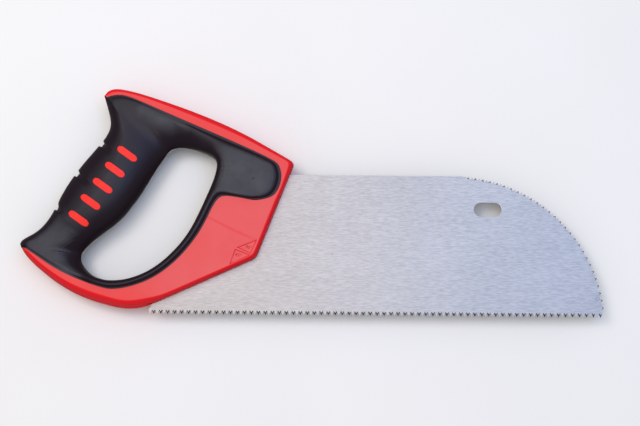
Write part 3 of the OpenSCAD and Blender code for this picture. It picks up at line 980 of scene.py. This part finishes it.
@dataclass
class RubberGrip:
    """The soft overmoulding: palm grip with three grooves, opening lining and side pads.

    The copy is lowered in three places where the photo shows lower rubber: at the lower horn, on
    the bridge above the hand opening, and round the corner at the opening's low end. Lengths are
    in mm.
    """

    node: str = "soft_grip"
    finish: SoftRubber = field(default_factory=SoftRubber)
    sharp_from: float = 55.0
    ledge: float = 9.9
    ledge_slack: float = 0.02
    skin_lean: float = 0.02
    horn: Spot = (-70.0, 36.0)
    horn_reach: float = 30.0
    horn_fade: float = 12.0
    horn_height: float = 10.4
    bridge: Spot = (30.0, 121.0)
    bridge_reach: float = 18.0
    bridge_fade: float = 8.0
    bridge_border: tuple[Spot, Spot] = ((33.3, 131.2), (46.2, 125.5))
    bridge_inset: float = 1.5
    bridge_slope: float = 0.27
    corner: Spot = (-36.0, 34.0)
    corner_radius: float = 13.3
    corner_reach: float = 11.0
    corner_inset: float = 4.0
    corner_fade: float = 8.0
    corner_slope: float = 0.30

    def build(self) -> bpy.types.Object:
        """Rounds the grip from its solid's facets.

        Returns:
            The finished grip.
        """
        mesh = merged_copy(self.node)
        self.settle_horn(mesh)
        self.lower(mesh, self.bridge_drop)
        self.lower(mesh, self.corner_drop)
        pair_triangles(mesh)
        keep_sharp(mesh, self.sharp_from, self.on_ledge)
        grip = finished(mesh, "rubber_grip", self.finish.material(), 2)
        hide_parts(self.node)
        return grip

    def settle_horn(self, mesh: bmesh.types.BMesh) -> None:
        """Lowers the rubber of the lower horn until it lies nearly level with the red.

        Args:
            mesh: the grip's mesh.
        """
        for vert in mesh.verts:
            share = held((self.horn_reach - flat_distance(vert.co, self.horn)) / self.horn_fade)
            over = max(0.0, abs(vert.co.z - MIDDLE) / MM - self.horn_height)
            vert.co.z -= math.copysign(share * over * MM, vert.co.z - MIDDLE)

    def lower(self, mesh: bmesh.types.BMesh, drop: Callable[[Vector], float]) -> None:
        """Lowers the outer skin towards the middle plane.

        Args:
            mesh: the grip's mesh.
            drop: gives the share of its height that a point loses.
        """
        mesh.normal_update()
        for vert in mesh.verts:
            height = vert.co.z - MIDDLE
            if vert.normal.z * height > self.skin_lean * abs(height):
                vert.co.z -= height * drop(vert.co)

    def bridge_drop(self, place: Vector) -> float:
        """Gives the drop on the bridge, which grows from its border to the opening's edge.

        Args:
            place: a point of the rubber.

        Returns:
            The share of its height that the point loses.
        """
        start, end = (from_heel(spot) for spot in self.bridge_border)
        inward = (end - start).cross(UP).normalized()
        share = held((self.bridge_reach - flat_distance(place, self.bridge)) / self.bridge_fade)
        inside = max(0.0, inward.dot(place - start) / MM - self.bridge_inset)
        return share * inside * self.bridge_slope / self.horn_height

    def corner_drop(self, place: Vector) -> float:
        """Gives the drop round the corner, which grows towards the opening's edge.

        Args:
            place: a point of the rubber.

        Returns:
            The share of its height that the point loses.
        """
        behind = (from_heel(self.corner).x - place.x) / MM
        share = held((behind - self.corner_inset) / self.corner_fade)
        reach = self.corner_radius + self.corner_reach
        inside = max(0.0, reach - flat_distance(place, self.corner))
        return share * inside * self.corner_slope / self.horn_height

    def on_ledge(self, edge: bmesh.types.BMEdge) -> bool:
        """Picks the fold between the pad's border and the low ledge at its foot."""
        return edge.calc_face_angle(0.0) > FOLD and all(
            abs(abs(vert.co.z - MIDDLE) - self.ledge * MM) < self.ledge_slack * MM
            for vert in edge.verts)


@dataclass
class GripBars:
    """Plain red bars let into both sides of the palm grip. Lengths are in mm."""

    first: Spot = (-50.0, 64.0)
    last: Spot = (-17.0, 111.4)
    count: int = 5
    length: float = 16.5
    width: float = 5.2
    edge: float = 0.3
    proud: float = 0.18
    sunk: float = 0.12
    steps_along: int = 16
    steps_across: int = 6
    above: float = 60.0
    finish: InlayRed = field(default_factory=InlayRed)

    def bar(self, mesh: bmesh.types.BMesh, middle: Vector, turn: float, side: Side,
            skin: BVHTree) -> None:
        """Adds one round-ended bar that follows the rubber under it.

        Args:
            mesh: the mesh that holds all bars.
            middle: the bar's middle, seen along Z.
            turn: the way the bar points, in radians.
            side: the side it lies on.
            skin: the rubber's surface.
        """
        verts = bmesh.ops.create_grid(mesh, x_segments=self.steps_along,
                                      y_segments=self.steps_across, size=0.5)["verts"]
        radius = self.width / 2 * MM
        half = self.length / 2 * MM - radius
        for vert in verts:
            vert.co.x *= self.length * MM
            vert.co.y *= self.width * MM
            bulge = math.sqrt(max(0.0, 1.0 - (vert.co.y / radius) ** 2))
            past = max(0.0, abs(vert.co.x) - half) * bulge
            vert.co.x = math.copysign(min(abs(vert.co.x), half) + past, vert.co.x)
        bmesh.ops.remove_doubles(mesh, verts=verts, dist=WELD)
        faces = list({face for vert in verts if vert.is_valid for face in vert.link_faces})
        ring = bmesh.ops.inset_region(mesh, faces=faces, thickness=self.edge * MM,
                                      use_even_offset=True, use_boundary=True)["faces"]
        top = {vert for face in faces for vert in face.verts}
        verts = list(top | {vert for face in ring for vert in face.verts})
        bmesh.ops.rotate(mesh, verts=verts, cent=(0, 0, 0), matrix=Matrix.Rotation(turn, 3, "Z"))
        bmesh.ops.translate(mesh, verts=verts, vec=middle)
        for vert in verts:
            start = Vector((vert.co.x, vert.co.y, MIDDLE + side.value * self.above * MM))
            hit = skin.ray_cast(start, -side.value * UP)[0]
            vert.co.z = hit.z + side.value * (self.proud if vert in top else -self.sunk) * MM
        if side is Side.FAR:
            bmesh.ops.reverse_faces(mesh, faces=faces + ring)

    def build(self, grip: bpy.types.Object) -> bpy.types.Object:
        """Lays the bars on the grip.

        Args:
            grip: the finished grip.

        Returns:
            The bars, as one piece.
        """
        skin = BVHTree.FromObject(grip, bpy.context.evaluated_depsgraph_get())
        first = from_heel(self.first)
        run = from_heel(self.last) - first
        turn = math.atan2(run.y, run.x) + math.pi / 2
        mesh = bmesh.new()
        for side in Side:
            for number in range(self.count):
                self.bar(mesh, first + run * number / (self.count - 1), turn, side, skin)
        return finished(mesh, "grip_bars", self.finish.material())


@dataclass
class MouldLines:
    """Thin beads along the middle plane: round the hand opening and round the red edge.

    Lengths are in mm.
    """

    opening_low: Spot = (-29.0, 37.5)
    opening_high: Spot = (26.5, 98.0)
    opening_thick: float = 0.26
    edge_thick: float = 0.12
    facing: float = 0.4
    lift: float = 0.3
    look: float = 50.0
    grey: FlashLine = FlashLine("flash_grey", (0.16, 0.135, 0.12), (0.36, 0.31, 0.27))
    red: FlashLine = FlashLine("flash_red", (0.62, 0.012, 0.016), (0.74, 0.04, 0.04))

    def to_axis(self, place: Vector) -> Vector:
        """Gives the way from a point to the nearest spot on the opening's long axis.

        Args:
            place: the point.

        Returns:
            The way in metres.
        """
        low = from_heel(self.opening_low)
        run = from_heel(self.opening_high) - low
        share = held((place - low).dot(run) / run.length_squared)
        return low + run * share - place

    def build(self, core: bpy.types.Object, grip: bpy.types.Object) -> None:
        """Lays both beads where they can be seen.

        Args:
            core: the finished core.
            grip: the finished grip.
        """
        rubber = BVHTree.FromObject(grip, bpy.context.evaluated_depsgraph_get())

        def open_along(way: Vector, place: Vector, normal: Vector) -> bool:
            """Says whether a point looks along a way that no rubber blocks.

            Args:
                way: the way, as long as it has to be free.
                place: the point.
                normal: the point's normal.

            Returns:
                Whether the way is free and the point looks along it.
            """
            ahead = way.normalized()
            hit = rubber.ray_cast(place + ahead * self.lift * MM, ahead, way.length)[0]
            return normal.dot(ahead) > self.facing and hit is None

        def faces_opening(place: Vector, normal: Vector) -> bool:
            """Picks the points that look into the hand opening."""
            return open_along(self.to_axis(place), place, normal)

        def faces_out(place: Vector, normal: Vector) -> bool:
            """Picks the points that look away from the handle."""
            return open_along(-self.look * MM * self.to_axis(place).normalized(), place, normal)

        mould_line(grip, faces_opening, self.opening_thick, "opening_flash",
                   self.grey.material())
        mould_line(core, faces_out, self.edge_thick, "edge_flash",
                   self.red.material())


@dataclass
class Lamp:
    """One soft rectangular lamp. Lengths are in metres."""

    name: str
    place: Place
    aim: Place
    size: tuple[float, float]
    radiance: float
    tone: Colour
    mirrored: bool = True

    def build(self) -> None:
        """Hangs the lamp and turns it to its aim."""
        data = bpy.data.lights.new(self.name, "AREA")
        data.shape = "RECTANGLE"
        data.size, data.size_y = self.size
        data.energy = math.pi * self.size[0] * self.size[1] * self.radiance
        data.color = self.tone
        lamp = bpy.data.objects.new(self.name, data)
        lamp.location = self.place
        lamp.visible_glossy = self.mirrored
        way = Vector(self.aim) - Vector(self.place)
        lamp.rotation_euler = way.to_track_quat("-Z", "Y").to_euler()
        bpy.context.scene.collection.objects.link(lamp)


@dataclass
class Studio:
    """Camera, lamps and floor around the saw.

    The camera's place and lens are in mm, the rest in metres.
    """

    camera_spot: Spot = (122.389, -41.244)
    camera_height: float = 800.0
    tilt: float = 8.0
    roll: float = 0.5
    lens: float = 62.584
    sensor: float = 36.0
    clip_start: float = 0.01
    world: Colour = (0.58, 0.57, 0.57)
    mirrored_world: Colour = (0.20, 0.195, 0.20)
    floor_size: float = 6.0
    floor_gap: float = 0.0002
    lamps: tuple[Lamp, ...] = (
        Lamp("left_softbox", (-0.27, 0.24, 1.5), (-0.27, 0.24, 0.0), (0.89, 1.28), 1.88,
             (1.0, 0.94, 0.91)),
        Lamp("right_softbox", (0.55, 0.24, 1.5), (0.55, 0.24, 0.0), (0.75, 1.28), 2.20,
             (0.31, 0.535, 1.0)),
        Lamp("key_window", (-0.70, 0.40, 1.35), (0.0, 0.0, 0.0), (0.6, 0.6), 6.0,
             (1.0, 0.98, 0.96), mirrored=False),
    )

    def build(self) -> None:
        """Sets up the whole studio."""
        self.add_camera()
        for lamp in self.lamps:
            lamp.build()
        self.add_floor()
        self.add_world()
        bpy.context.scene.view_settings.view_transform = "Standard"

    def add_world(self) -> None:
        """Fills the room with even light that is darker where the saw mirrors it."""
        world = bpy.data.worlds.new("studio")
        world.use_nodes = True
        tree = world.node_tree
        rays = tree.nodes.new("ShaderNodeLightPath")
        tone = tree.nodes.new("ShaderNodeMix")
        tone.data_type = "RGBA"
        tone.inputs[6].default_value = (*self.world, 1.0)
        tone.inputs[7].default_value = (*self.mirrored_world, 1.0)
        tree.links.new(rays.outputs["Is Glossy Ray"], tone.inputs[0])
        tree.links.new(tone.outputs[2], tree.nodes["Background"].inputs[0])
        bpy.context.scene.world = world

    def add_camera(self) -> None:
        """Places the camera at the photograph's viewpoint."""
        data = bpy.data.cameras.new("viewpoint")
        data.sensor_width = self.sensor
        data.lens = self.lens
        data.clip_start = self.clip_start
        camera = bpy.data.objects.new("viewpoint", data)
        place = Matrix.Translation(from_heel(self.camera_spot, self.camera_height))
        tilt = Matrix.Rotation(math.radians(self.tilt), 4, "X")
        roll = Matrix.Rotation(math.radians(self.roll), 4, "Z")
        camera.matrix_world = place @ (tilt @ roll)
        bpy.context.scene.collection.objects.link(camera)
        bpy.context.scene.camera = camera

    def add_floor(self) -> None:
        """Lays the floor just under the saw, which does not mirror it."""
        mesh = bmesh.new()
        bmesh.ops.create_grid(mesh, x_segments=1, y_segments=1, size=self.floor_size / 2)
        bmesh.ops.translate(mesh, verts=mesh.verts, vec=(0, 0, -self.floor_gap))
        data = bpy.data.meshes.new("floor")
        mesh.to_mesh(data)
        mesh.free()
        floor = bpy.data.objects.new("floor", data)
        floor.data.materials.append(PaleFloor().material())
        floor.visible_glossy = False
        bpy.context.scene.collection.objects.link(floor)


def main() -> None:
    """Builds and dresses the saw."""
    logging.basicConfig(level=logging.INFO, format="%(name)s %(message)s")
    Studio().build()
    SteelBlade().dress()
    handle = RedHandle()
    core = handle.build()
    handle.build_digits()
    grip = RubberGrip().build()
    GripBars().build(grip)
    MouldLines().build(core, grip)


if __name__ == "__main__":
    main()
